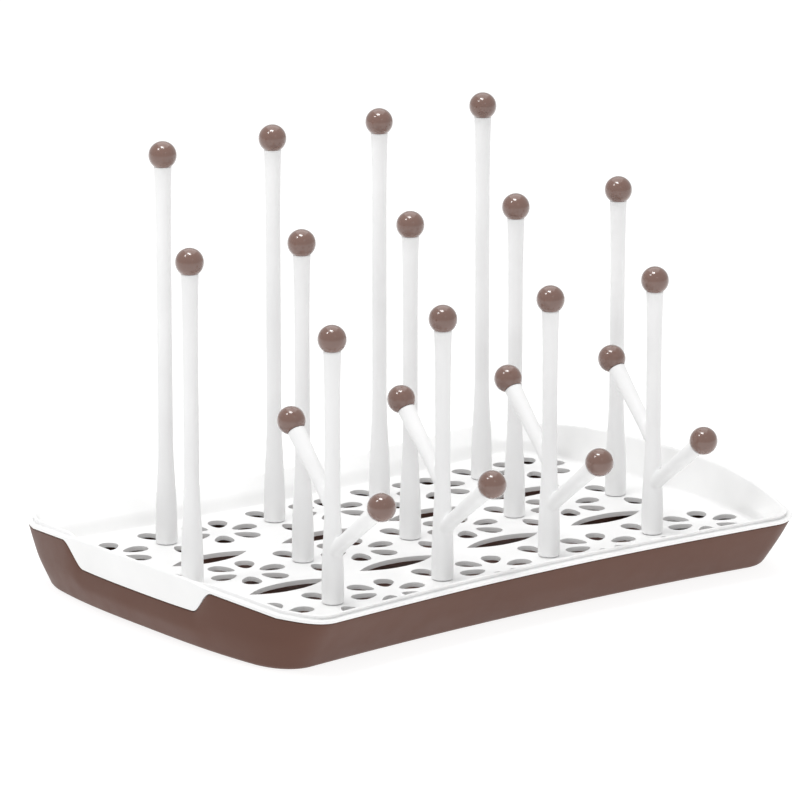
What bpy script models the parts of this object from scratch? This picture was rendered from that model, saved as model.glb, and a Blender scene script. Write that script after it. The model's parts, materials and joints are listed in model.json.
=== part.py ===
"""Bottle drying rack.

A brown drip tray carries a white drain rack that hangs in it by its rim. Thirteen pegs stand in
sockets of the rack in three staggered rows: tall at the back, shorter in the middle, and at the
front four branching pegs. Every tip carries a ball cap.

Frame: +X along the long side, -Y is the front, +Z up, origin on the table under the middle.
"""
import math

import bmesh
import bpy
from mathutils import Matrix, Vector

# ---------------------------------------------------------------- driving dimensions (metres)
PITCH = 0.064                # between neighbouring pegs of a row
ROW_PITCH = 0.0646           # between rows
DECK_TOP = 0.017             # the drain deck over the table
DECK_THICK = 0.0022
WALL = 0.0022                # wall of the tray and of the rack
FIT = 0.0003                 # between pieces that touch

BALL_R = 0.00665
SEAT_R = 0.0042              # the cup under each ball
NECK_R = 0.00388
PEG_R = 0.00357              # slender middle of a peg
FOOT_R = 0.00515             # thick foot of a peg
FOOT_UP = 0.052              # height at which the foot has run into the slender middle
STUD_R = 0.0017              # stud inside the ball cap
STUD_LEN = 0.0052
SPIGOT_R = 0.0034            # plug under a peg's foot
SPIGOT_LEN = 0.0080
BOSS_R = 0.0062              # socket's tube under the deck

BALL_UP = {"back": 0.1874, "middle": 0.1523, "branch": 0.1237}   # ball centre over the deck
REAR_ARM = (0.0456, 0.0308, 0.0798)      # branching height, reach back, ball over the deck
FRONT_ARM = (0.0239, -0.0361, 0.0529)    # branching height, reach forward, ball over the deck

HANDLE_LOW = 0.043           # half width of the handle notch at its floor
HANDLE_HIGH = 0.0583         # and where it meets the rim
NOTCH_Z = 0.0195             # floor of the notch in the tray
ARCH = 0.0010                # rise of the tray's lower edge between its corners

SEG = 12                     # sides of the pegs
CAP_SEG = 12
PETAL_SEG = 8


# ---------------------------------------------------------------- plan outlines
class Plan:
    """A rounded rectangle whose short sides bow out and whose long sides are waisted."""

    def __init__(self, x_mid, x_end, y_mid, y_end, radius):
        self.x_mid, self.x_end = x_mid, x_end
        self.y_mid, self.y_end = y_mid, y_end
        self.radius = radius

    def inset(self, d, dy=None):
        dy = d if dy is None else dy
        return Plan(self.x_mid - d, self.x_end - d, self.y_mid - dy, self.y_end - dy,
                    max(self.radius - d, 0.004))

    def short_side(self, y):
        run = self.y_end - self.radius
        return self.x_mid - (self.x_mid - self.x_end) * (abs(y) / run) ** 2.7

    def long_side(self, x):
        run = self.x_end - self.radius
        return self.y_end - (self.y_end - self.y_mid) * (1 - (x / run) ** 2)


BASE = Plan(0.1588, 0.1528, 0.0945, 0.0980, 0.0214)      # tray, just over its rounded bottom edge
BASE_Z = 0.0074
TOP = Plan(0.1633, 0.1516, 0.1065, 0.1138, 0.019)       # tray's rim
RIM_MID, RIM_CORNER, RIM_LONG = 0.0324, 0.0266, 0.0250  # rim height: handle, corner, long side
DECK = Plan(0.1548, 0.1468, 0.0915, 0.0975, 0.0205)

END_Y = [0.0, 0.024, 0.0430, 0.0465, 0.0493, 0.0523, 0.0552, 0.0583]
END_REST = 2
ARC = 5
LONG = 5
QUARTER = len(END_Y) + END_REST + ARC + LONG            # points from the short side's middle
                                                        # to just before the long side's middle


def smooth(t):
    t = min(max(t, 0.0), 1.0)
    return t * t * (3 - 2 * t)


def quarter_point(plan, i):
    """Point i of the first quadrant, from the middle of the short side to that of the long one."""
    y_run = plan.y_end - plan.radius
    x_run = plan.x_end - plan.radius
    if i < len(END_Y) + END_REST:
        if i < len(END_Y):
            y = END_Y[i]
        else:
            y = END_Y[-1] + (y_run - END_Y[-1]) * (i - len(END_Y) + 1) / END_REST
        return plan.short_side(y), y
    i -= len(END_Y) + END_REST - 1
    if i <= ARC:
        t = i / ARC
        a = Vector((plan.short_side(y_run), y_run))
        d = Vector((x_run, plan.long_side(x_run)))
        lean = (plan.x_mid - plan.x_end) * 2.7 / y_run
        sink = 2 * (plan.y_end - plan.y_mid) / x_run
        b = a + Vector((-lean, 1)).normalized() * plan.radius * 0.56
        c = d + Vector((1, sink)).normalized() * plan.radius * 0.56
        p = (1 - t) ** 3 * a + 3 * (1 - t) ** 2 * t * b + 3 * (1 - t) * t * t * c + t ** 3 * d
        return p.x, p.y
    x = x_run * (1 - (i - ARC) / LONG)
    return x, plan.long_side(x)


def columns():
    """(quarter index, sign of x, sign of y) once round, anticlockwise from the +X side."""
    last = QUARTER - 1
    out = [(i, 1, 1) for i in range(last + 1)]
    out += [(i, -1, 1) for i in range(last - 1, -1, -1)]
    out += [(i, -1, -1) for i in range(1, last + 1)]
    out += [(i, 1, -1) for i in range(last - 1, 0, -1)]
    return out


def rim_height(i):
    """Height of the tray's rim at quarter index i, were there no notch."""
    last_end = len(END_Y) + END_REST - 1
    if i <= last_end:
        y = quarter_point(TOP, i)[1]
        return RIM_MID - (RIM_MID - RIM_CORNER) * (y / (TOP.y_end - TOP.radius)) ** 2.7
    t = smooth((i - last_end) / (ARC + 2))
    return RIM_CORNER + (RIM_LONG - RIM_CORNER) * t


def handle(i):
    """1 in the handle zone of a short side, 0 away from it."""
    if i >= len(END_Y):
        return 0.0
    return 1 - smooth((END_Y[i] - HANDLE_LOW) / (HANDLE_HIGH - HANDLE_LOW))


def arch(i):
    """1 at the middle of a side, 0 at the corners."""
    last_end = len(END_Y) + END_REST - 1
    if i <= last_end:
        return 1 - (quarter_point(BASE, i)[1] / quarter_point(BASE, last_end)[1]) ** 2
    if i <= last_end + ARC:
        return 0.0
    return 1 - (quarter_point(BASE, i)[0] / quarter_point(BASE, last_end + ARC)[0]) ** 2


def tray_top(i):
    """Height of the tray's edge, with the handle notch."""
    w = handle(i)
    return rim_height(i) * (1 - w) + NOTCH_Z * w


def edge_gap(i):
    """Vertical gap over the tray's edge that leaves FIT square to it."""
    if 0 < i < len(END_Y):
        rise = (tray_top(i + 1) - tray_top(i - 1)) / (quarter_point(TOP, i + 1)[1]
                                                      - quarter_point(TOP, i - 1)[1])
        return FIT * 1.1 * math.sqrt(1 + rise * rise)
    return FIT


def wall_point(i, z, inset, inset_y=None):
    """Point of the flared tray wall at height z, moved in by inset."""
    x0, y0 = quarter_point(BASE.inset(inset, inset_y), i)
    x1, y1 = quarter_point(TOP.inset(inset, inset_y), i)
    s = (z - BASE_Z) / (rim_height(i) - BASE_Z)
    return Vector((x0 + (x1 - x0) * s, y0 + (y1 - y0) * s, z))


def flat_ring(plan, z):
    return lambda i: Vector((*quarter_point(plan, i), z))


def blend(i, plain, grip):
    """The rack's section away from the handles, turning into the section at a handle."""
    return plain.lerp(grip, handle(i))


# ---------------------------------------------------------------- building blocks
def clear_scene():
    for ob in list(bpy.data.objects):
        bpy.data.objects.remove(ob, do_unlink=True)
    for block in (bpy.data.meshes, bpy.data.materials, bpy.data.curves):
        for item in list(block):
            block.remove(item)


def collection(name):
    col = bpy.data.collections.new(name)
    bpy.context.scene.collection.children.link(col)
    return col


def material(name, colour, roughness):
    mat = bpy.data.materials.new(name)
    mat.use_nodes = True
    shader = mat.node_tree.nodes["Principled BSDF"]
    shader.inputs["Base Color"].default_value = (*colour, 1.0)
    shader.inputs["Roughness"].default_value = roughness
    shader.inputs["Metallic"].default_value = 0.0
    mat.diffuse_color = (*colour, 1.0)
    return mat


def add_object(name, mesh, col, mat=None):
    ob = bpy.data.objects.new(name, mesh)
    col.objects.link(ob)
    if mat is not None:
        mesh.materials.append(mat)
    return ob


def lofted(name, rings):
    """Closed body through rings that run from the middle of the underside to the top's middle."""
    bm = bmesh.new()
    cols = columns()
    loops = []
    for ring in rings:
        loop = []
        for i, sx, sy in cols:
            p = ring(i)
            loop.append(bm.verts.new((p.x * sx, p.y * sy, p.z)))
        loops.append(loop)
    count = len(cols)
    for low, high in zip(loops, loops[1:]):
        for k in range(count):
            n = (k + 1) % count
            bm.faces.new((low[k], low[n], high[n], high[k]))
    bm.faces.new(list(reversed(loops[0])))
    bm.faces.new(loops[-1])
    bmesh.ops.recalc_face_normals(bm, faces=bm.faces)
    mesh = bpy.data.meshes.new(name)
    bm.to_mesh(mesh)
    bm.free()
    return mesh


def turned(name, profile, col, mat, segments):
    """Solid of revolution about Z. The profile is (radius, height), top to bottom."""
    mesh = bpy.data.meshes.new(name)
    mesh.from_pydata([(r, 0.0, z) for r, z in profile],
                     [(k, k + 1) for k in range(len(profile) - 1)], [])
    ob = add_object(name, mesh, col, mat)
    screw = ob.modifiers.new("Turn", "SCREW")
    screw.steps = segments
    screw.render_steps = segments
    screw.use_merge_vertices = True
    screw.merge_threshold = 0.00005
    screw.use_smooth_shade = True
    return ob


def boolean(ob, other, operation):
    mod = ob.modifiers.new(operation.title(), "BOOLEAN")
    mod.operation = operation
    mod.solver = "EXACT"
    mod.object = other
    return mod


def hide_tool(ob):
    ob.hide_render = True
    ob.display_type = "WIRE"


# ---------------------------------------------------------------- layout
def peg_places():
    """(row, number, x, y) of all the pegs; the middle row has one more and sits half a pitch off."""
    out = []
    for row, count, y in (("back", 4, ROW_PITCH), ("middle", 5, 0.0), ("branch", 4, -ROW_PITCH)):
        for k in range(count):
            out.append((row, k + 1, (k - (count - 1) / 2) * PITCH, y))
    return out


def flower_places():
    """Middles of the six-petal groups of drain holes, between the pegs of each row."""
    out = []
    for count, y in ((5, ROW_PITCH), (4, 0.0), (5, -ROW_PITCH)):
        out += [((k - (count - 1) / 2) * PITCH, y) for k in range(count)]
    return out


HOLES = min(1.0, PITCH / 0.064, ROW_PITCH / 0.0646)      # the holes shrink where the pegs close up
PETAL_IN, PETAL_OUT, PETAL_WIDE = 0.0069 * HOLES, 0.0203 * HOLES, 0.0092 * HOLES
SLOT_LEN, SLOT_WIDE, SLOT_Y = 0.0436 * HOLES, 0.0130 * HOLES, 0.4675 * ROW_PITCH


def petal_outline(x, y, angle, reach=0.0):
    """Drop-shaped hole: its narrow end points at (x, y), its round end away from it."""
    mid = (PETAL_OUT + PETAL_IN) / 2 + reach
    half = (PETAL_OUT - PETAL_IN) / 2
    pts = []
    for k in range(PETAL_SEG):
        t = 2 * math.pi * k / PETAL_SEG
        along = half * math.cos(t)
        wide = PETAL_WIDE / 2 * math.sin(t) * (1 + 0.30 * math.cos(t))
        pts.append((x + (mid + along) * math.cos(angle) - wide * math.sin(angle),
                    y + (mid + along) * math.sin(angle) + wide * math.cos(angle)))
    return pts


def slot_outline(x, y):
    """Eye-shaped slot along X."""
    pts = []
    steps = 6
    for side in (1, -1):
        for k in range(steps):
            t = k / steps
            u = (1 - 2 * t) * side
            pts.append((x + u * SLOT_LEN / 2,
                        y + side * SLOT_WIDE / 2 * max(1 - abs(u) ** 2.3, 0.0)))
    return pts


def prisms(name, outlines, low, high):
    """Upright prisms over the given outlines."""
    bm = bmesh.new()
    for outline in outlines:
        face = bm.faces.new([bm.verts.new((x, y, low)) for x, y in outline])
        moved = bmesh.ops.extrude_face_region(bm, geom=[face])
        up = [v for v in moved["geom"] if isinstance(v, bmesh.types.BMVert)]
        bmesh.ops.translate(bm, vec=(0, 0, high - low), verts=up)
    bmesh.ops.recalc_face_normals(bm, faces=bm.faces)
    mesh = bpy.data.meshes.new(name)
    bm.to_mesh(mesh)
    bm.free()
    return mesh


def cylinders(name, places, radius, low, high, segments):
    bm = bmesh.new()
    for x, y in places:
        bmesh.ops.create_cone(bm, cap_ends=True, segments=segments, radius1=radius, radius2=radius,
                              depth=high - low,
                              matrix=Matrix.Translation((x, y, (low + high) / 2)))
    mesh = bpy.data.meshes.new(name)
    bm.to_mesh(mesh)
    bm.free()
    return mesh


# ---------------------------------------------------------------- drip tray
def build_tray(col, mat):
    def wall(fraction, inset):
        return lambda i: wall_point(i, BASE_Z + (tray_top(i) - BASE_Z) * fraction, inset)

    def low_edge(inset, rise):
        plan = BASE.inset(inset)
        return lambda i: Vector((*quarter_point(plan, i), ARCH * arch(i) + rise))

    rings = [
        flat_ring(BASE.inset(0.0160), 0.0),
        low_edge(0.0054, 0.0001),
        low_edge(0.0027, 0.0010),
        low_edge(0.0007, 0.0037),
        flat_ring(BASE, BASE_Z),
        wall(0.5, -0.0004),
        wall(1.0, 0.0),
        wall(1.0, WALL),
        wall(0.5, WALL - 0.0004),
        flat_ring(BASE.inset(WALL + 0.0006), BASE_Z + 0.0003),
        low_edge(WALL + 0.0040, WALL),
        flat_ring(BASE.inset(0.0170), WALL),
    ]
    return add_object("drip_tray", lofted("drip_tray", rings), col, mat)


# ---------------------------------------------------------------- drain rack
def build_rack(col, tools, mat):
    under = DECK_TOP - DECK_THICK
    outer = DECK.inset(-0.0024)

    def knee(i):
        plan = Plan(0.1578, 0.1485, 0.0972, 0.1035, 0.0230)
        plain = Vector((*quarter_point(plan, i), DECK_TOP + 0.0038))
        return blend(i, plain, Vector((quarter_point(outer.inset(-0.0005), i)[0],
                                       quarter_point(outer, i)[1], DECK_TOP + 0.0008)))

    def over_edge(inset):
        return lambda i: wall_point(i, tray_top(i) + edge_gap(i), inset)

    def rim(rise, in_x, in_y, grip_rise, grip_in):
        return lambda i: blend(i, wall_point(i, rim_height(i) + rise, in_x, in_y),
                               wall_point(i, rim_height(i) + grip_rise, grip_in))

    def shoulder(i):
        plan = Plan(0.1572, 0.1472, 0.0950, 0.1012, 0.0215)
        plain = Vector((*quarter_point(plan, i), DECK_TOP + 0.0058))
        return blend(i, plain, wall_point(i, DECK_TOP + 0.0065, 0.0040))

    def fillet(i):
        plain = Vector((*quarter_point(DECK.inset(-0.0009), i), DECK_TOP + 0.0012))
        return blend(i, plain, Vector((quarter_point(DECK.inset(-0.0013), i)[0],
                                       quarter_point(DECK, i)[1], DECK_TOP + 0.0012)))

    rings = [
        flat_ring(outer, under),
        knee,
        over_edge(WALL + 0.0006),
        over_edge(0.0),
        rim(0.0019, 0.0, 0.0, 0.0026, 0.0),
        rim(0.0020, 0.0022, 0.0042, 0.0033, 0.0007),
        rim(0.0038, 0.0025, 0.0045, 0.0033, 0.0015),
        rim(0.0039, 0.0043, 0.0063, 0.0026, WALL),
        shoulder,
        fillet,
        flat_ring(DECK, DECK_TOP),
    ]
    rack = add_object("drain_rack", lofted("drain_rack", rings), col, mat)

    places = [(x, y) for _, _, x, y in peg_places()]
    bosses = add_object("socket_tubes", cylinders("socket_tubes", places, BOSS_R,
                                                  DECK_TOP - SPIGOT_LEN - 0.0007,
                                                  DECK_TOP - 0.0008, SEG), tools)
    hide_tool(bosses)
    boolean(rack, bosses, "UNION")

    outlines = []
    for x, y in flower_places():
        outlines += [petal_outline(x, y, math.pi * k / 3) for k in range(6)]
    for x, y in places:
        outlines += [petal_outline(x, y, math.pi * (k + 0.5), 0.0004) for k in range(2)]
    for k in range(4):
        outlines += [slot_outline((k - 1.5) * PITCH, y) for y in (SLOT_Y, -SLOT_Y)]
    bores = [[(x + (SPIGOT_R + FIT) * math.cos(2 * math.pi * (k + 0.5) / SEG),
               y + (SPIGOT_R + FIT) * math.sin(2 * math.pi * (k + 0.5) / SEG))
              for k in range(SEG)] for x, y in places]
    holes = add_object("drain_holes", prisms("drain_holes", outlines + bores, 0.0045,
                                             DECK_TOP + 0.004), tools)
    hide_tool(holes)
    boolean(rack, holes, "DIFFERENCE")
    return rack


# ---------------------------------------------------------------- pegs and caps
def seat_drop():
    """How far the cup's edge lies below the ball's centre."""
    return math.sqrt(BALL_R ** 2 - SEAT_R ** 2)


def tip_profile(ball):
    """Stud, cup and neck below a ball whose centre is at height ball."""
    seat = ball - seat_drop() - FIT
    return [(0.0, seat + STUD_LEN), (STUD_R, seat + STUD_LEN), (STUD_R, seat), (SEAT_R, seat),
            (NECK_R, seat - 0.0090)]


def peg_profile(ball):
    tip = tip_profile(ball)
    low = tip[-1][1]
    out = list(tip)
    out.append((PEG_R, low - 0.0180))
    for rise, grow in ((1.0, 0.0), (0.88, 0.06), (0.73, 0.29), (0.56, 0.60), (0.38, 0.87), (0.2, 1.0)):
        out.append((PEG_R + (FOOT_R - PEG_R) * grow, FOOT_UP * rise))
    out += [(FOOT_R, 0.0012), (FOOT_R - 0.0007, FIT), (SPIGOT_R, FIT), (SPIGOT_R, -SPIGOT_LEN + 0.0006),
            (SPIGOT_R - 0.0006, -SPIGOT_LEN), (0.0, -SPIGOT_LEN)]
    return out


def arm_frame(arm):
    """Start of an arm on the peg's axis, its direction, and its length up to the ball."""
    root, reach, ball = arm
    start = Vector((0.0, 0.0, root))
    end = Vector((0.0, reach, ball))
    return start, (end - start).normalized(), (end - start).length


def arm_matrix(arm):
    start, direction, _ = arm_frame(arm)
    return Matrix.Translation(start) @ direction.to_track_quat("Z", "Y").to_matrix().to_4x4()


def arm_profile(arm):
    length = arm_frame(arm)[2]
    tip = tip_profile(length)
    return tip + [(PEG_R, length * 0.45), (PEG_R * 0.97, length * 0.22), (PEG_R * 0.93, 0.0),
                  (0.0, 0.0)]


def cap_profile():
    """Ball with a flat seat and a blind hole for the stud, about its own centre."""
    drop = seat_drop()
    low = math.pi - math.asin(SEAT_R / BALL_R)
    steps = 6
    out = [(0.0, BALL_R)]
    out += [(BALL_R * math.sin(low * k / steps), BALL_R * math.cos(low * k / steps))
            for k in range(1, steps)]
    hole = STUD_R + FIT
    out += [(SEAT_R, -drop), (hole, -drop), (hole, -drop + STUD_LEN + FIT),
            (0.0, -drop + STUD_LEN + FIT)]
    return out


def build_pegs(col, tools, white, brown):
    cap = turned("cap_back_1", cap_profile(), col, brown, CAP_SEG)
    caps_mesh = cap.data
    first = True

    def place_cap(name, parent, where, turn=None):
        nonlocal first
        if first:
            ob, first = cap, False
        else:
            ob = bpy.data.objects.new(name, caps_mesh)
            col.objects.link(ob)
            screw = ob.modifiers.new("Turn", "SCREW")
            screw.steps = screw.render_steps = CAP_SEG
            screw.use_merge_vertices = True
            screw.merge_threshold = 0.00005
            screw.use_smooth_shade = True
        ob.name = name
        ob.parent = parent
        ob.location = where
        if turn is not None:
            ob.rotation_mode = "QUATERNION"
            ob.rotation_quaternion = turn
        return ob

    for row, number, x, y in peg_places():
        name = f"peg_{row}_{number}"
        peg = turned(name, peg_profile(BALL_UP[row]), col, white, SEG)
        peg.location = (x, y, DECK_TOP)
        if row != "branch":
            place_cap(f"cap_{row}_{number}", peg, (0.0, 0.0, BALL_UP[row]))
            continue
        place_cap(f"cap_branch_{number}_top", peg, (0.0, 0.0, BALL_UP[row]))
        for side, arm in (("rear", REAR_ARM), ("front", FRONT_ARM)):
            branch = turned(f"arm_{number}_{side}", arm_profile(arm), tools, None, SEG)
            branch.matrix_world = Matrix.Translation((x, y, DECK_TOP)) @ arm_matrix(arm)
            hide_tool(branch)
            boolean(peg, branch, "UNION")
            _, direction, length = arm_frame(arm)
            place_cap(f"cap_branch_{number}_{side}", peg, (0.0, arm[1], arm[2]),
                      direction.to_track_quat("Z", "Y"))


def main():
    clear_scene()
    parts = collection("bottle_drying_rack")
    tools = collection("bottle_drying_rack_cutters")
    brown = material("tray_plastic", (0.145, 0.082, 0.067), 0.38)
    white = material("rack_plastic", (0.86, 0.86, 0.85), 0.35)
    peg_white = material("peg_plastic", (0.84, 0.84, 0.84), 0.35)
    cap_brown = material("cap_plastic", (0.20, 0.125, 0.105), 0.22)
    build_tray(parts, brown)
    build_rack(parts, tools, white)
    build_pegs(parts, tools, peg_white, cap_brown)
    bpy.context.view_layer.update()


main()
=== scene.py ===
"""Bottle drying rack: a brown drip tray, a white drain rack hung in it, thirteen pegs with ball caps."""
import json
import math

import bpy
from mathutils import Matrix, Vector


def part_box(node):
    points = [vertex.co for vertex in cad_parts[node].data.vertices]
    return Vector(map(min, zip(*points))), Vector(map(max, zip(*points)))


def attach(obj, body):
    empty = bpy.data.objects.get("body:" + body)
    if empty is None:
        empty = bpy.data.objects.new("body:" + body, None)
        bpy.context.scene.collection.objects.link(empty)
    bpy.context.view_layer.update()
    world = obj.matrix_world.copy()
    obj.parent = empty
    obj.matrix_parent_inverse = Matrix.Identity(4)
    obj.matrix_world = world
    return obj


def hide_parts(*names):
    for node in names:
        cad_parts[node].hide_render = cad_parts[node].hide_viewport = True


bl_info = {
    "name": "Bottle Drying Rack",
    "version": (1, 0, 0),
    "blender": (4, 5, 0),
    "location": "View3D > Sidebar > Drying Rack",
    "description": "Builds a baby bottle drying rack piece by piece",
    "category": "Add Mesh",
}

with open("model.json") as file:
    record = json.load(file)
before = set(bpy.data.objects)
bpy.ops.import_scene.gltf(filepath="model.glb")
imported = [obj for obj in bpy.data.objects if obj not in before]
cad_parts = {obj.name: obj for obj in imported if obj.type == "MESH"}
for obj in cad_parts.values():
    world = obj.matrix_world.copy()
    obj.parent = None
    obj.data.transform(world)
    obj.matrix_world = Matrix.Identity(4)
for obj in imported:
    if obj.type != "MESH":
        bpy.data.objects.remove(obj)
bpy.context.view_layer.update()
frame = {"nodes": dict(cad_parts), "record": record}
BODY_OF = {node: body for body, nodes in frame["record"]["behaviour"]["bodies"].items() for node in nodes}
STRAIGHT = ("back", "middle")
STEM_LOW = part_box("peg_back_1")[0].z
FIT = 0.0003            # gap between pieces that slide on each other
SNUG = 0.00006          # gap between a ball and its cup
PLUG_LONG = 0.0080      # plug under a peg's foot
NOTCH_FLOOR_END = 0.0430
NOTCH_END = 0.0583      # half width of the handle notch, where it meets the rim


def across(node):
    """Middle of a node's box."""
    low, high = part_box(node)
    return (low + high) / 2


def pegs_of(row):
    """Names of a row's pegs, left to right."""
    return sorted(n for n in frame["nodes"] if n.startswith(f"peg_{row}_"))


def length(name, default, description):
    return bpy.props.FloatProperty(name=name, description=description, default=default, min=0.0,
                                   precision=5, unit="LENGTH")


def colour(name, default, description):
    return bpy.props.FloatVectorProperty(name=name, description=description, default=default, size=3,
                                         min=0.0, max=1.0, subtype="COLOR")


# ---------------------------------------------------------------- sizes and colours
class TraySizes(bpy.types.PropertyGroup):
    wall: length("Wall", 0.0022, "Thickness of the tray's wall")
    base_round: length("Bottom rounding", 0.0054, "Rounding between the underside and the wall")
    base_height: length("Bottom edge height", 0.0074, "Height at which the rounding meets the wall")
    arch: length("Arch", 0.0010, "Rise of the lower edge between two corners")
    rim_middle: length("Rim at the handles", 0.0324, "Height of the rim at a short side's middle")
    rim_corner: length("Rim at the corners", 0.0266, "Height of the rim at a corner")
    rim_long: length("Rim of the long sides", 0.0250, "Height of the rim at a long side's middle")
    notch_floor: length("Notch floor", 0.0195, "Height of the handle notch's floor")
    notch_low: length("Notch floor half width", NOTCH_FLOOR_END, "Half width of the notch at its floor")
    notch_high: length("Notch top half width", NOTCH_END, "Half width of the notch where it meets the rim")


class RackSizes(bpy.types.PropertyGroup):
    deck: length("Deck height", round(STEM_LOW + PLUG_LONG, 5), "Top of the deck over the table")
    thick: length("Deck thickness", 0.0022, "Thickness of the deck")
    petal_in: length("Petal start", 0.0069, "From a flower's middle to a drain hole's narrow end")
    petal_out: length("Petal end", 0.0203, "From a flower's middle to a drain hole's round end")
    petal_wide: length("Petal width", 0.0092, "Width of a drain hole")
    slot_long: length("Slot length", 0.0436, "Length of a slot")
    slot_wide: length("Slot width", 0.0130, "Width of a slot")
    slot_away: length("Slot offset", 0.0302, "From the middle row to the slots")
    tube: length("Socket radius", 0.0062, "Outer radius of a socket's tube")


class PegSizes(bpy.types.PropertyGroup):
    stem: length("Stem radius", 0.00357, "Radius of a peg's slender middle")
    neck: length("Neck radius", 0.00388, "Radius below the cup")
    cup: length("Cup radius", 0.0042, "Radius of the cup that holds a ball")
    foot: length("Foot radius", 0.00515, "Radius of the thick foot")
    foot_up: length("Foot height", 0.0520, "Height at which the foot has run into the stem")
    stud: length("Stud radius", 0.0017, "Radius of the stud inside a ball")
    stud_long: length("Stud length", 0.0052, "Length of that stud")
    plug: length("Plug radius", 0.0034, "Radius of the plug under the foot")
    plug_long: length("Plug length", PLUG_LONG, "Length of that plug")
    rear_arm: bpy.props.FloatVectorProperty(
        name="Rear arm", description="Fork over the deck, reach to the back, ball over the deck",
        default=(0.0456, 0.0308, 0.0798), size=3, precision=5, unit="LENGTH")
    front_arm: bpy.props.FloatVectorProperty(
        name="Front arm", description="Fork over the deck, reach to the front, ball over the deck",
        default=(0.0239, -0.0361, 0.0529), size=3, precision=5, unit="LENGTH")


class BallSizes(bpy.types.PropertyGroup):
    radius: length("Ball radius", 0.00665, "Radius of a ball cap")


class Finishes(bpy.types.PropertyGroup):
    tray: colour("Tray", (0.128, 0.061, 0.0440), "Brown of the drip tray")
    rack: colour("Rack", (0.91, 0.91, 0.907), "White of the drain rack")
    peg: colour("Pegs", (0.905, 0.905, 0.905), "White of the pegs")
    ball: colour("Balls", (0.176, 0.093, 0.071), "Brown of the ball caps")
    floor: colour("Floor", (0.30, 0.30, 0.30), "Pale floor")


# ---------------------------------------------------------------- outlines of tray and rack
class Outline:
    """A rounded oblong whose short sides bow out and whose long sides are waisted."""

    def __init__(self, x_mid, x_end, y_mid, y_end, corner):
        self.x_mid, self.x_end, self.y_mid, self.y_end, self.corner = x_mid, x_end, y_mid, y_end, corner

    def inset(self, d, dy=None):
        dy = d if dy is None else dy
        return Outline(self.x_mid - d, self.x_end - d, self.y_mid - dy, self.y_end - dy,
                       max(self.corner - d, 0.004))

    def run(self):
        return self.x_end - self.corner, self.y_end - self.corner

    def short_side(self, y):
        return self.x_mid - (self.x_mid - self.x_end) * (abs(y) / self.run()[1]) ** 2.7

    def long_side(self, x):
        return self.y_end - (self.y_end - self.y_mid) * (1 - (x / self.run()[0]) ** 2)

    def at(self, station):
        """Point of the first quarter; a station is a stretch of the outline and a place on it."""
        kind, t = station
        x_run, y_run = self.run()
        if kind == "short":
            return self.short_side(t), t
        if kind == "rest":
            y = NOTCH_END + (y_run - NOTCH_END) * t
            return self.short_side(y), y
        if kind == "long":
            x = x_run * (1 - t)
            return x, self.long_side(x)
        a = Vector((self.short_side(y_run), y_run))
        d = Vector((x_run, self.long_side(x_run)))
        lean = (self.x_mid - self.x_end) * 2.7 / y_run
        sink = 2 * (self.y_end - self.y_mid) / x_run
        b = a + Vector((-lean, 1)).normalized() * self.corner * 0.56
        c = d + Vector((1, sink)).normalized() * self.corner * 0.56
        p = (1 - t) ** 3 * a + 3 * (1 - t) ** 2 * t * b + 3 * (1 - t) * t * t * c + t ** 3 * d
        return p.x, p.y


BASE = Outline(0.1588, 0.1528, 0.0945, 0.0980, 0.0214)
RIM = Outline(0.1633, 0.1516, 0.1065, 0.1138, 0.019)
DECK = Outline(0.1548, 0.1468, 0.0915, 0.0975, 0.0205)
KNEE = Outline(0.1578, 0.1485, 0.0972, 0.1035, 0.0230)
SHOULDER = Outline(0.1572, 0.1472, 0.0950, 0.1012, 0.0215)


def stations():
    """Places along one quarter of an outline, close together at the handle notch."""
    out = [("short", NOTCH_FLOOR_END * k / 10) for k in range(10)]
    out += [("short", NOTCH_FLOOR_END + (NOTCH_END - NOTCH_FLOOR_END) * k / 16) for k in range(17)]
    out += [("rest", k / 6) for k in range(1, 7)]
    out += [("corner", k / 16) for k in range(1, 17)]
    out += [("long", k / 16) for k in range(1, 17)]
    return out


STATIONS = stations()


def columns():
    """(station, sign of x, sign of y) once round, anticlockwise from the middle of the +X side."""
    last = len(STATIONS) - 1
    out = [(k, 1, 1) for k in range(last + 1)]
    out += [(k, -1, 1) for k in range(last - 1, -1, -1)]
    out += [(k, -1, -1) for k in range(1, last + 1)]
    out += [(k, 1, -1) for k in range(last - 1, 0, -1)]
    return out


def smooth(t):
    """0 to 1 with level ends."""
    t = min(max(t, 0.0), 1.0)
    return t * t * (3 - 2 * t)


def rim_height(station):
    tray = bpy.context.scene.rack_tray
    kind, t = station
    if kind in ("short", "rest"):
        y = RIM.at(station)[1]
        return tray.rim_middle - (tray.rim_middle - tray.rim_corner) * (y / RIM.run()[1]) ** 2.7
    s = 5 * t / 7 if kind == "corner" else (5 + 5 * t) / 7
    return tray.rim_corner + (tray.rim_long - tray.rim_corner) * smooth(s)


def handle(station):
    """1 at a handle notch, 0 away from it."""
    tray = bpy.context.scene.rack_tray
    if station[0] != "short":
        return 0.0
    return 1 - smooth((station[1] - tray.notch_low) / (tray.notch_high - tray.notch_low))


def tray_top(station):
    w = handle(station)
    return rim_height(station) * (1 - w) + bpy.context.scene.rack_tray.notch_floor * w


def edge_gap(station):
    """Height of the gap over the tray's edge that keeps the fit square to it."""
    if station[0] != "short":
        return FIT
    step = 0.0005
    low, high = ("short", max(station[1] - step, 0.0)), ("short", min(station[1] + step, NOTCH_END))
    rise = (tray_top(high) - tray_top(low)) / (high[1] - low[1])
    return FIT * 1.1 * math.sqrt(1 + rise * rise)


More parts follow.
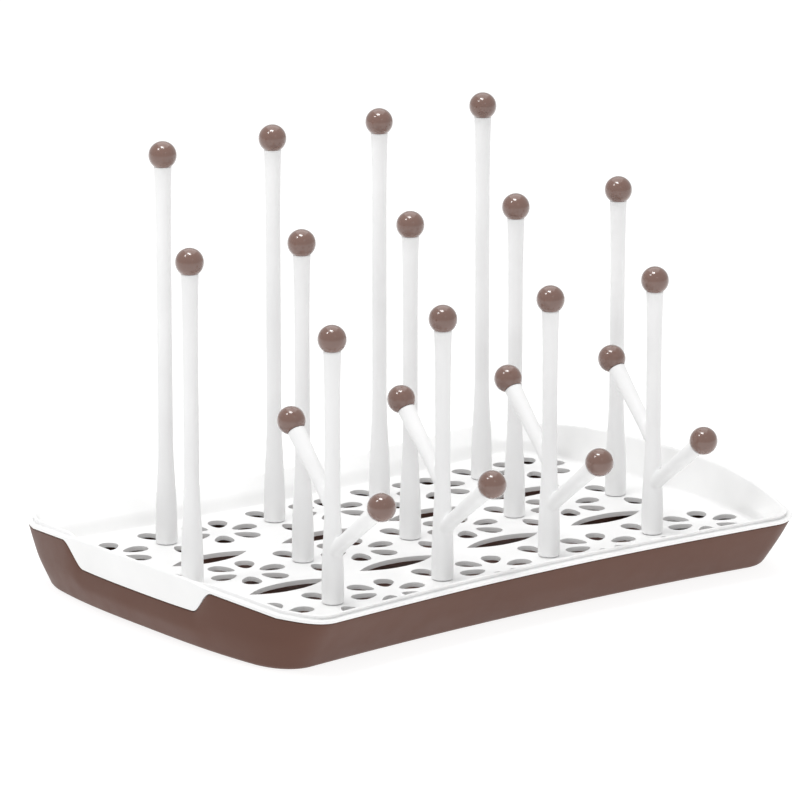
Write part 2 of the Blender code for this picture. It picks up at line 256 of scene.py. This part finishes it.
def arch(station):
    """1 at the middle of a side, 0 at the corners."""
    kind = station[0]
    if kind == "corner":
        return 0.0
    x, y = BASE.at(station)
    return 1 - (x / BASE.run()[0]) ** 2 if kind == "long" else 1 - (y / BASE.run()[1]) ** 2


def on_wall(station, z, inset, inset_y=None):
    """Point of the flared tray wall at height z, moved in by inset."""
    base_z = bpy.context.scene.rack_tray.base_height
    x0, y0 = BASE.inset(inset, inset_y).at(station)
    x1, y1 = RIM.inset(inset, inset_y).at(station)
    s = (z - base_z) / (rim_height(station) - base_z)
    return Vector((x0 + (x1 - x0) * s, y0 + (y1 - y0) * s, z))


def level(outline, station, z):
    """Point of an outline at height z."""
    return Vector((*outline.at(station), z))


def rounded(points, radii, steps=4):
    """The line through the points with its corners rounded."""
    out = [points[0]]
    for before, corner, after, radius in zip(points, points[1:], points[2:], radii):
        a, b = before - corner, after - corner
        reach = min(radius, a.length * 0.45, b.length * 0.45)
        p, q = corner + a.normalized() * reach, corner + b.normalized() * reach
        for k in range(steps + 1):
            t = k / steps
            out.append((1 - t) ** 2 * p + 2 * (1 - t) * t * corner + t * t * q)
    out.append(points[-1])
    return out


# ---------------------------------------------------------------- shaping by hand
def deselect_all():
    if bpy.context.object is not None and bpy.context.object.mode != "OBJECT":
        bpy.ops.object.mode_set(mode="OBJECT")
    bpy.ops.object.select_all(action="DESELECT")


def pick(*pieces):
    """Selects these pieces only; the first one is the active one."""
    deselect_all()
    for piece in pieces:
        piece.select_set(True)
    bpy.context.view_layer.objects.active = pieces[0]


def pulled_up(name, rings, pointed=False, tips=(None, None)):
    """A closed shell pulled up from a disc, one extrusion a ring, each ring then set to its outline."""
    around = len(rings[0])
    deselect_all()
    bpy.ops.mesh.primitive_circle_add(vertices=around, radius=1.0,
                                      fill_type="TRIFAN" if pointed else "NGON")
    piece = bpy.context.object
    piece.name = piece.data.name = name
    bpy.ops.object.mode_set(mode="EDIT")
    bpy.ops.mesh.select_all(action="SELECT")
    for _ in range(len(rings) - 1):
        bpy.ops.mesh.extrude_region_move(TRANSFORM_OT_translate={"value": (0.0, 0.0, 1.0)})
    bpy.ops.object.mode_set(mode="OBJECT")
    for v in piece.data.vertices:
        ring = round(v.co.z)
        if math.hypot(v.co.x, v.co.y) < 0.5:
            v.co = tips[0] if ring == 0 else tips[1]
        else:
            v.co = rings[ring][round(math.atan2(v.co.y, v.co.x) / (2 * math.pi) * around) % around]
    face_out(piece)
    return piece


def face_out(piece):
    pick(piece)
    bpy.ops.object.mode_set(mode="EDIT")
    bpy.ops.mesh.select_all(action="SELECT")
    bpy.ops.mesh.normals_make_consistent(inside=False)
    bpy.ops.object.mode_set(mode="OBJECT")


def moulded(name, profile):
    """A closed shell round the whole outline; profile(station) gives its section there."""
    sections = [profile(s) for s in STATIONS]
    rings = [[Vector((sections[k][r].x * sx, sections[k][r].y * sy, sections[k][r].z))
              for k, sx, sy in columns()] for r in range(len(sections[0]))]
    return pulled_up(name, rings)


def lathed(name, line, sides=40):
    """A turned piece about Z from (radius, height) points, bottom to top, both ends on the axis."""
    turns = [2 * math.pi * k / sides for k in range(sides)]
    rings = [[Vector((r * math.cos(a), r * math.sin(a), z)) for a in turns] for r, z in line[1:-1]]
    return pulled_up(name, rings, True, (Vector((0, 0, line[0][1])), Vector((0, 0, line[-1][1]))))


def pillar(name, outline, low, high):
    """An upright cutter or tube over an outline."""
    return pulled_up(name, [[Vector((x, y, z)) for x, y in outline] for z in (low, high)])


def apply_all(piece):
    pick(piece)
    for mod in list(piece.modifiers):
        bpy.ops.object.modifier_apply(modifier=mod.name)


def cut(piece, tool, operation):
    mod = piece.modifiers.new(operation.title(), "BOOLEAN")
    mod.operation, mod.solver, mod.object = operation, "EXACT", tool
    apply_all(piece)
    bpy.data.objects.remove(tool)


def one_mesh(name, pieces):
    pick(*pieces)
    bpy.ops.object.join()
    pieces[0].name = pieces[0].data.name = name
    return pieces[0]


def twin(piece, name, matrix):
    """A copy with its own mesh, its place in the mesh."""
    pick(piece)
    bpy.ops.object.duplicate(linked=False)
    copy = bpy.context.object
    copy.name = copy.data.name = name
    copy.data.transform(matrix)
    copy.data.update()
    return copy


def finish_piece(piece, material, node):
    piece.data.materials.clear()
    piece.data.materials.append(material)
    pick(piece)
    bpy.ops.object.shade_smooth_by_angle(angle=math.radians(35))
    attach(piece, BODY_OF[node])
    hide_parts(node)


# ---------------------------------------------------------------- materials
def plastic(name, base, rough, spread, grain, grain_depth, coat=0.0, ior=1.46, gleam=0.5):
    """Moulded plastic: faint cloudiness of the melt, uneven gloss, and the fine grain of the mould."""
    if name in bpy.data.materials:
        return bpy.data.materials[name]
    mat = bpy.data.materials.new(name)
    mat.use_nodes = True
    mat.diffuse_color = (*base, 1.0)
    nodes, links = mat.node_tree.nodes, mat.node_tree.links
    shader = nodes["Principled BSDF"]
    shader.inputs["IOR"].default_value = ior
    shader.inputs["Specular IOR Level"].default_value = gleam
    shader.inputs["Coat Weight"].default_value = coat
    shader.inputs["Coat Roughness"].default_value = 0.11
    place = nodes.new("ShaderNodeTexCoord")

    def noise(scale, detail):
        texture = nodes.new("ShaderNodeTexNoise")
        texture.inputs["Scale"].default_value = scale
        texture.inputs["Detail"].default_value = detail
        links.new(place.outputs["Object"], texture.inputs["Vector"])
        return texture.outputs["Fac"]

    tint = nodes.new("ShaderNodeValToRGB")
    tint.color_ramp.elements[0].position, tint.color_ramp.elements[1].position = 0.3, 0.7
    tint.color_ramp.elements[0].color = (*[c * 0.955 for c in base], 1.0)
    tint.color_ramp.elements[1].color = (*[min(c * 1.035, 1.0) for c in base], 1.0)
    links.new(noise(22.0, 4.0), tint.inputs["Fac"])
    links.new(tint.outputs["Color"], shader.inputs["Base Color"])

    gloss = nodes.new("ShaderNodeMapRange")
    gloss.inputs["From Min"].default_value, gloss.inputs["From Max"].default_value = 0.3, 0.7
    gloss.inputs["To Min"].default_value = rough - spread
    gloss.inputs["To Max"].default_value = rough + spread
    links.new(noise(90.0, 3.0), gloss.inputs["Value"])
    links.new(gloss.outputs["Result"], shader.inputs["Roughness"])

    bump = nodes.new("ShaderNodeBump")
    bump.inputs["Strength"].default_value = 0.35
    bump.inputs["Distance"].default_value = grain_depth
    links.new(noise(grain, 2.0), bump.inputs["Height"])
    links.new(bump.outputs["Normal"], shader.inputs["Normal"])
    return mat


# ---------------------------------------------------------------- sections of tray and rack
SWELL = {"low": (0.30, 0.0016), "high": (0.62, 0.0010)}     # share of the wall's height, swell there


def tray_section(s):
    """Section of the tray from the underside, up the wall's outside, and down its inside to the floor."""
    tray = bpy.context.scene.rack_tray
    lift = tray.arch * arch(s)
    line = [level(BASE.inset(0.0160), s, 0.0)]
    for k in range(5):      # half of the quarter round, up to where the wall's slope takes over
        a = math.pi / 2 * k / 8
        z = tray.base_height * (1 - math.cos(a)) + lift * (1 - (k / 8) ** 3) + (0.0001 if k == 0 else 0)
        line.append(level(BASE.inset(tray.base_round * (1 - math.sin(a))), s, z))
    base_z, top = tray.base_height, tray_top(s)

    def swollen(place, inset):
        """Point of the wall's gentle outward swell."""
        share, out = SWELL[place]
        return on_wall(s, base_z + (top - base_z) * share, inset - out)

    corners = [line[-1], swollen("low", 0.0), swollen("high", 0.0), on_wall(s, top, 0.0),
               on_wall(s, top, tray.wall), swollen("high", tray.wall), swollen("low", tray.wall),
               level(BASE.inset(tray.wall + 0.0040), s, lift + tray.wall),
               level(BASE.inset(0.0170), s, tray.wall)]
    return line[:-1] + rounded(corners, [0.006, 0.006, 0.0006, 0.0006, 0.006, 0.006, 0.003])


def rack_section(s):
    """Section of the rack from the deck's underside, out to the rim, over its rib, and down to the deck."""
    deck, thick = bpy.context.scene.rack_deck.deck, bpy.context.scene.rack_deck.thick
    wall, w = bpy.context.scene.rack_tray.wall, handle(s)
    outer = DECK.inset(-0.0024)
    edge, rim = tray_top(s) + edge_gap(s), rim_height(s)

    def lip(rise, in_x, in_y, grip_rise, grip_in):
        return on_wall(s, rim + rise, in_x, in_y).lerp(on_wall(s, rim + grip_rise, grip_in), w)

    knee = level(KNEE, s, deck + 0.0038).lerp(
        Vector((outer.inset(-0.0005).at(s)[0], outer.at(s)[1], deck + 0.0008)), w)
    shoulder = level(SHOULDER, s, deck + 0.0058).lerp(on_wall(s, deck + 0.0065, 0.0040), w)
    fillet = level(DECK.inset(-0.0009), s, deck + 0.0012).lerp(
        Vector((DECK.inset(-0.0013).at(s)[0], DECK.at(s)[1], deck + 0.0012)), w)
    corners = [level(outer.inset(0.006), s, deck - thick), level(outer, s, deck - thick), knee,
               on_wall(s, edge, wall + 0.0006), on_wall(s, edge, 0.0), lip(0.0019, 0.0, 0.0, 0.0026, 0.0),
               lip(0.0020, 0.0022, 0.0042, 0.0033, 0.0007), lip(0.0038, 0.0025, 0.0045, 0.0033, 0.0015),
               lip(0.0039, 0.0043, 0.0063, 0.0026, wall), shoulder, fillet, level(DECK, s, deck),
               level(DECK.inset(0.004), s, deck)]
    return rounded(corners, [0.0012, 0.0012, 0.0008, 0.0003, 0.0007, 0.0008, 0.0006, 0.0008,
                             0.0020, 0.0014, 0.0012])


def petal(x, y, angle, reach=0.0):
    """A drop-shaped drain hole whose narrow end points at (x, y)."""
    rack = bpy.context.scene.rack_deck
    mid, half = (rack.petal_out + rack.petal_in) / 2 + reach, (rack.petal_out - rack.petal_in) / 2
    out = []
    for k in range(16):
        t = 2 * math.pi * k / 16
        along, wide = half * math.cos(t), rack.petal_wide / 2 * math.sin(t) * (1 + 0.30 * math.cos(t))
        out.append((x + (mid + along) * math.cos(angle) - wide * math.sin(angle),
                    y + (mid + along) * math.sin(angle) + wide * math.cos(angle)))
    return out


def eye(x, y):
    """An eye-shaped slot along X with small round ends."""
    rack = bpy.context.scene.rack_deck
    out = []
    for side in (1, -1):
        for k in range(14):
            u = math.cos(math.pi * k / 14) * side
            out.append((x + u * rack.slot_long / 2,
                        y + side * rack.slot_wide / 2 * max(1 - abs(u) ** 2.3, 0.0)))
    return out


def round_hole(x, y, radius, sides=24):
    return [(x + radius * math.cos(2 * math.pi * k / sides), y + radius * math.sin(2 * math.pi * k / sides))
            for k in range(sides)]


def grid_places():
    """Peg places and flower places of the deck, from the CAD pegs."""
    rows = [[across(n.replace("peg_", "cap_") + ("_top" if row == "branch" else "")) for n in pegs_of(row)]
            for row in ("back", "middle", "branch")]
    pegs = [(p.x, p.y) for row in rows for p in row]
    back, middle, front = rows
    flowers = [(p.x, back[0].y) for p in middle] + [(p.x, middle[0].y) for p in back]
    flowers += [(p.x, front[0].y) for p in middle]
    return pegs, flowers, [p.x for p in back]


# ---------------------------------------------------------------- sections of pegs and balls
ARM_END_R = 0.0038      # round end of an arm, bulging out of the stem
ARM_END_OUT = 0.0030    # middle of that end, along the arm


def seat_drop():
    """How far a cup's edge lies below its ball's centre."""
    return math.sqrt(bpy.context.scene.rack_ball.radius ** 2 - bpy.context.scene.rack_peg.cup ** 2)


def flat_line(points, radii):
    return [(p.x, p.y) for p in rounded([Vector(p) for p in points], radii, 3)]


def tip_line(ball):
    """Neck, cup and stud up to their end, for a ball centred at that height."""
    peg = bpy.context.scene.rack_peg
    seat = ball - seat_drop() - SNUG
    top = seat + peg.stud_long
    return [(peg.neck, seat - 0.009), (peg.cup, seat), (peg.stud, seat), (peg.stud, top),
            (0.0001, top), (0.0, top)], [0.003, 0.0004, 0.0002, 0.0004, 0.00001]


def stem_line(ball):
    """Profile of a peg: plug, foot, long flare, slender middle, neck and tip."""
    peg = bpy.context.scene.rack_peg
    tip, tip_radii = tip_line(ball)
    high = tip[0][1]
    flare = []
    for k in range(17):
        t = k / 16
        flare.append((peg.foot + (peg.stem - peg.foot) * smooth(t), peg.foot_up * (0.17 + 0.83 * t)))
    base = flat_line([(0.0, -peg.plug_long), (peg.plug - 0.0006, -peg.plug_long),
                      (peg.plug, -peg.plug_long + 0.0006), (peg.plug, FIT), (peg.foot, FIT),
                      (peg.foot, 0.0060)], [0.0002, 0.0002, 0.0001, 0.0016])
    return base[:-1] + flare + flat_line([flare[-1], (peg.stem, high - 0.0180)] + tip,
                                             [0.01, 0.006] + tip_radii[1:])[1:]


def arm_line(reach):
    """Profile of an arm along its own axis, from the round end in the stem to its ball."""
    peg = bpy.context.scene.rack_peg
    tip, tip_radii = tip_line(reach)
    turns = [math.pi / 16 * k for k in range(9)]
    round_end = [(ARM_END_R * math.sin(a), ARM_END_OUT - ARM_END_R * math.cos(a)) for a in turns]
    slender = (peg.stem, reach * 0.45)
    return (round_end + [(peg.stem * 0.97, reach * 0.22), slender]
            + flat_line([slender] + tip, tip_radii)[1:])


def arm_place(arm):
    """(matrix of an arm's root on the peg's axis, length to its ball)."""
    run = Vector((0.0, arm[1], arm[2] - arm[0]))
    turn = run.to_track_quat("Z", "Y").to_matrix().to_4x4()
    return Matrix.Translation((0.0, 0.0, arm[0])) @ turn, run.length


def ball_line():
    """A ball with a flat seat and a blind hole for the stud, from the hole's end out and over the top."""
    peg, radius = bpy.context.scene.rack_peg, bpy.context.scene.rack_ball.radius
    drop, hole = seat_drop(), peg.stud + FIT
    end = -drop + peg.stud_long + FIT
    low = math.pi - math.asin(peg.cup / radius)
    turns = [low * (1 - k / 24) for k in range(25)]
    skin = [(radius * math.sin(a), radius * math.cos(a)) for a in turns]
    return [(0.0, end), (hole, end), (hole, -drop)] + skin


def white_peg():
    return plastic("peg_white", tuple(bpy.context.scene.rack_finish.peg), 0.36, 0.04, 1500.0, 0.00003)


def make_straight(row):
    """Makes a row's pegs: the first is modelled, the others are copies of it."""
    rack, radius = bpy.context.scene.rack_deck, bpy.context.scene.rack_ball.radius
    first = None
    for name in pegs_of(row):
        cap = name.replace("peg_", "cap_")
        if first is None:
            first = lathed("stem_pattern", stem_line(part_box(cap)[1].z - radius - rack.deck))
        top = across(cap)
        place = Matrix.Translation((top.x, top.y, rack.deck))
        finish_piece(twin(first, name.replace("peg", "stem"), place), white_peg(), name)
    bpy.data.objects.remove(first)


# ---------------------------------------------------------------- operators
class RACK_OT_tray(bpy.types.Operator):
    """Make the brown drip tray with its two handle notches"""
    bl_idname = "drying_rack.tray"
    bl_label = "Drip tray"

    def execute(self, context):
        shell = moulded("tray_shell", tray_section)
        brown = plastic("tray_brown", tuple(context.scene.rack_finish.tray), 0.44, 0.05, 1300.0, 0.00004,
                        gleam=0.20)
        finish_piece(shell, brown, "drip_tray")
        return {"FINISHED"}


class RACK_OT_deck(bpy.types.Operator):
    """Make the white drain rack: rim, deck, sockets, drain holes and slots"""
    bl_idname = "drying_rack.deck"
    bl_label = "Drain rack"

    def execute(self, context):
        rack, peg = context.scene.rack_deck, context.scene.rack_peg
        shell = moulded("rack_shell", rack_section)
        pegs, flowers, slots = grid_places()
        low = rack.deck - peg.plug_long - 0.0007
        tubes = [pillar("tube", round_hole(x, y, rack.tube), low, rack.deck - 0.0008) for x, y in pegs]
        cut(shell, one_mesh("tubes", tubes), "UNION")
        holes = [petal(x, y, math.pi * k / 3) for x, y in flowers for k in range(6)]
        holes += [petal(x, y, math.pi * (k + 0.5), 0.0004) for x, y in pegs for k in range(2)]
        holes += [eye(x, y) for x in slots for y in (rack.slot_away, -rack.slot_away)]
        holes += [round_hole(x, y, peg.plug + FIT) for x, y in pegs]
        tools = [pillar("hole", outline, 0.0045, rack.deck + 0.004) for outline in holes]
        cut(shell, one_mesh("holes", tools), "DIFFERENCE")
        soft = shell.modifiers.new("Hole edges", "BEVEL")
        soft.width, soft.segments, soft.limit_method = 0.00025, 2, "ANGLE"
        soft.angle_limit = math.radians(60)
        apply_all(shell)
        white = plastic("rack_white", tuple(context.scene.rack_finish.rack), 0.38, 0.04, 1400.0, 0.00003)
        finish_piece(shell, white, "drain_rack")
        even = shell.modifiers.new("Even shading", "WEIGHTED_NORMAL")
        even.weight, even.keep_sharp = 100, True
        apply_all(shell)
        return {"FINISHED"}


class RACK_OT_back_pegs(bpy.types.Operator):
    """Make the four tall pegs of the back row"""
    bl_idname = "drying_rack.back_pegs"
    bl_label = "Back pegs"

    def execute(self, context):
        make_straight("back")
        return {"FINISHED"}


class RACK_OT_middle_pegs(bpy.types.Operator):
    """Make the five pegs of the middle row"""
    bl_idname = "drying_rack.middle_pegs"
    bl_label = "Middle pegs"

    def execute(self, context):
        make_straight("middle")
        return {"FINISHED"}


class RACK_OT_branch_pegs(bpy.types.Operator):
    """Make the four front pegs, each with a rear and a front arm that flow into the stem"""
    bl_idname = "drying_rack.branch_pegs"
    bl_label = "Branching pegs"

    def execute(self, context):
        rack, peg = context.scene.rack_deck, context.scene.rack_peg
        names = pegs_of("branch")
        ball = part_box("cap_branch_1_top")[1].z - context.scene.rack_ball.radius - rack.deck
        pattern = lathed("branch_pattern", stem_line(ball))
        for arm in (peg.rear_arm, peg.front_arm):
            place, reach = arm_place(arm)
            limb = lathed("limb", arm_line(reach))
            limb.data.transform(place)
            limb.data.update()
            cut(pattern, limb, "UNION")
        skin = pattern.modifiers.new("Skin", "REMESH")
        skin.mode, skin.voxel_size, skin.adaptivity = "VOXEL", 0.00042, 0.0
        apply_all(pattern)
        forks = [Vector((0, 0, arm[0])) for arm in (peg.rear_arm, peg.front_arm)]
        near = pattern.vertex_groups.new(name="forks")
        for v in pattern.data.vertices:
            away = min((v.co - f - Vector((0, 0, 0.003))).length for f in forks)
            near.add([v.index], smooth((0.0125 - away) / 0.005), "REPLACE")
        for title, group, times in (("Flow", "forks", 9), ("Even", "", 2)):
            ease = pattern.modifiers.new(title, "SMOOTH")
            ease.factor, ease.iterations, ease.vertex_group = 0.5, times, group
        apply_all(pattern)
        pattern.vertex_groups.clear()
        for name in names:
            top = across(name.replace("peg_", "cap_") + "_top")
            place = Matrix.Translation((top.x, top.y, rack.deck))
            finish_piece(twin(pattern, name.replace("peg", "stem"), place), white_peg(), name)
        bpy.data.objects.remove(pattern)
        return {"FINISHED"}


class RACK_OT_balls(bpy.types.Operator):
    """Make the glossy brown ball cap of every tip"""
    bl_idname = "drying_rack.balls"
    bl_label = "Ball caps"

    def execute(self, context):
        rack, peg, radius = context.scene.rack_deck, context.scene.rack_peg, context.scene.rack_ball.radius
        brown = plastic("ball_brown", tuple(context.scene.rack_finish.ball), 0.19, 0.03, 700.0, 0.00001,
                        1.0, 1.5)
        pattern = lathed("ball_pattern", ball_line(), 48)
        places = {}
        for row in STRAIGHT:
            for name in pegs_of(row):
                cap = name.replace("peg_", "cap_")
                top = across(cap)
                places[cap] = Matrix.Translation((top.x, top.y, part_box(cap)[1].z - radius))
        for name in pegs_of("branch"):
            cap = name.replace("peg_", "cap_")
            top = across(cap + "_top")
            places[cap + "_top"] = Matrix.Translation((top.x, top.y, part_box(cap + "_top")[1].z - radius))
            for side, arm in (("rear", peg.rear_arm), ("front", peg.front_arm)):
                place, reach = arm_place(arm)
                places[f"{cap}_{side}"] = (Matrix.Translation((top.x, top.y, rack.deck)) @ place
                                           @ Matrix.Translation((0, 0, reach)))
        for cap, matrix in places.items():
            finish_piece(twin(pattern, cap.replace("cap", "ball"), matrix), brown, cap)
        bpy.data.objects.remove(pattern)
        return {"FINISHED"}


FLOOR_R = 9.0
CAMERA_AT, CAMERA_TO = (-1.57221, -1.98847, 0.72542), (0.15937, 0.21016, 0.018)
LAMPS_ROUND, LAMPS_AWAY = (0.0, 0.0, 0.08), 1.3
LAMPS = (   # name, way to it as shares of the camera's right, up and back, width and height, power
    ("window_top", (-0.10, 0.90, 0.42), (0.46, 0.26), 5.2),
    ("window_left", (-0.50, 0.70, 0.50), (0.22, 0.18), 1.7),
    ("window_small", (0.35, 0.38, 0.84), (0.09, 0.09), 0.1),
    ("overhead", (0.0, 1.0, -0.1), (1.3, 1.3), 4.4),
)


class RACK_OT_stage(bpy.types.Operator):
    """Make the pale floor, the soft lights and the camera"""
    bl_idname = "drying_rack.stage"
    bl_label = "Stage"

    def execute(self, context):
        scene = context.scene
        scene.view_settings.view_transform = "Standard"
        deselect_all()
        bpy.ops.mesh.primitive_circle_add(vertices=64, radius=FLOOR_R, fill_type="NGON",
                                          location=(0, 0, -FIT))
        floor = context.object
        floor.name = "floor"
        mat = bpy.data.materials.new("floor_white")
        mat.use_nodes = True
        shader = mat.node_tree.nodes["Principled BSDF"]
        shader.inputs["Base Color"].default_value = (*scene.rack_finish.floor, 1.0)
        shader.inputs["Roughness"].default_value = 0.9
        shader.inputs["Specular IOR Level"].default_value = 0.0
        shader.inputs["Emission Color"].default_value = (1.0, 1.0, 1.0, 1.0)
        shader.inputs["Emission Strength"].default_value = 0.86
        floor.data.materials.append(mat)

        world = bpy.data.worlds.new("studio")
        scene.world = world
        world.use_nodes = True
        world.node_tree.nodes["Background"].inputs["Color"].default_value = (1.0, 1.0, 1.0, 1.0)
        world.node_tree.nodes["Background"].inputs["Strength"].default_value = 0.67

        place, target = Vector(CAMERA_AT), Vector(CAMERA_TO)
        cam = bpy.data.cameras.new("camera")
        cam.sensor_width, cam.lens = 36.0, 249.04
        cam.clip_start, cam.clip_end = 0.05, 40.0
        camera = bpy.data.objects.new("camera", cam)
        scene.collection.objects.link(camera)
        camera.location = place
        camera.rotation_mode = "QUATERNION"
        camera.rotation_quaternion = (target - place).to_track_quat("-Z", "Y")
        scene.camera = camera

        back = (place - target).normalized()
        right = Vector((0, 0, 1)).cross(back).normalized()
        up = back.cross(right)
        for name, share, size, power in LAMPS:
            way = (right * share[0] + up * share[1] + back * share[2]).normalized()
            data = bpy.data.lights.new(name, "AREA")
            data.shape, data.size, data.size_y, data.energy = "RECTANGLE", size[0], size[1], power
            lamp = bpy.data.objects.new(name, data)
            scene.collection.objects.link(lamp)
            lamp.location = Vector(LAMPS_ROUND) + way * LAMPS_AWAY
            lamp.rotation_mode = "QUATERNION"
            lamp.rotation_quaternion = way.to_track_quat("Z", "Y")
        return {"FINISHED"}


STEPS = (RACK_OT_tray, RACK_OT_deck, RACK_OT_back_pegs, RACK_OT_middle_pegs, RACK_OT_branch_pegs,
         RACK_OT_balls, RACK_OT_stage)
SETTINGS = (("rack_tray", TraySizes), ("rack_deck", RackSizes), ("rack_peg", PegSizes),
            ("rack_ball", BallSizes), ("rack_finish", Finishes))


class RACK_PT_panel(bpy.types.Panel):
    """Sizes, colours and building steps of the drying rack"""
    bl_idname = "RACK_PT_panel"
    bl_label = "Bottle Drying Rack"
    bl_space_type = "VIEW_3D"
    bl_region_type = "UI"
    bl_category = "Drying Rack"

    def draw(self, context):
        for name, group in SETTINGS:
            box = self.layout.box()
            for key in group.__annotations__:
                box.prop(getattr(context.scene, name), key)
        for step in STEPS:
            self.layout.operator(step.bl_idname)


def register():
    for cls in [group for _, group in SETTINGS] + list(STEPS) + [RACK_PT_panel]:
        bpy.utils.register_class(cls)
    for name, group in SETTINGS:
        setattr(bpy.types.Scene, name, bpy.props.PointerProperty(type=group))


def unregister():
    for name, _ in SETTINGS:
        delattr(bpy.types.Scene, name)
    for cls in [RACK_PT_panel] + list(STEPS) + [group for _, group in SETTINGS]:
        bpy.utils.unregister_class(cls)


def main():
    register()
    bpy.ops.drying_rack.tray()
    bpy.ops.drying_rack.deck()
    bpy.ops.drying_rack.back_pegs()
    bpy.ops.drying_rack.middle_pegs()
    bpy.ops.drying_rack.branch_pegs()
    bpy.ops.drying_rack.balls()
    bpy.ops.drying_rack.stage()


if __name__ == "__main__":
    main()
